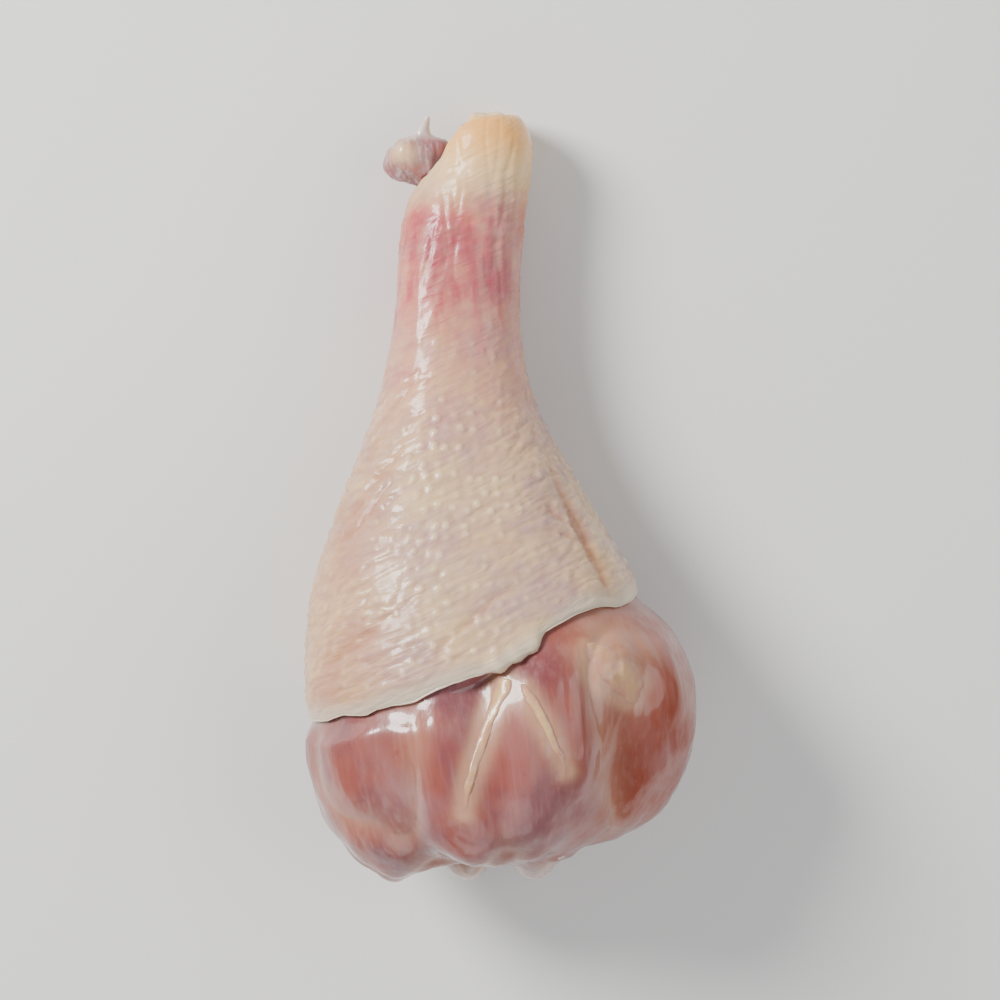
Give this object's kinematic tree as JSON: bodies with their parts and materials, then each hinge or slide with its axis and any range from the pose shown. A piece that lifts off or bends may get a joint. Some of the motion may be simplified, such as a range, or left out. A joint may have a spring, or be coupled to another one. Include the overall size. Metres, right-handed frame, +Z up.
{
  "type": "raw chicken drumstick",
  "caption": "Raw chicken drumstick lying on its side: loose pale skin from the hock to a slanting cut edge, bare muscle round the knee, bone ends and fat showing.",
  "frame": {"origin": "middle of the bounding box, at the level of the surface that the drumstick lies on", "axes": "+Z up, +Y along the leg towards the hock, +X to the side where the skin is cut shorter"},
  "size_m": [0.069, 0.1346, 0.0492],
  "materials": {
    "skin": "moist, thin and loose, pale cream with pink and lavender, follicle bumps",
    "meat": "wet, dusty rose muscle under a thin clear membrane",
    "bone": "smooth wet gristle, pearly cream",
    "tendon": "wet, greyish mauve with white strands",
    "fat": "soft, wet, yellowish cream"
  },
  "bodies": {
    "root": {"skin": "skin", "meat": "meat", "bone": "bone", "tendon": "tendon", "fat_strand_long": "fat", "fat_strand_short": "fat", "fat_pad": "fat"}
  },
  "joints": []
}
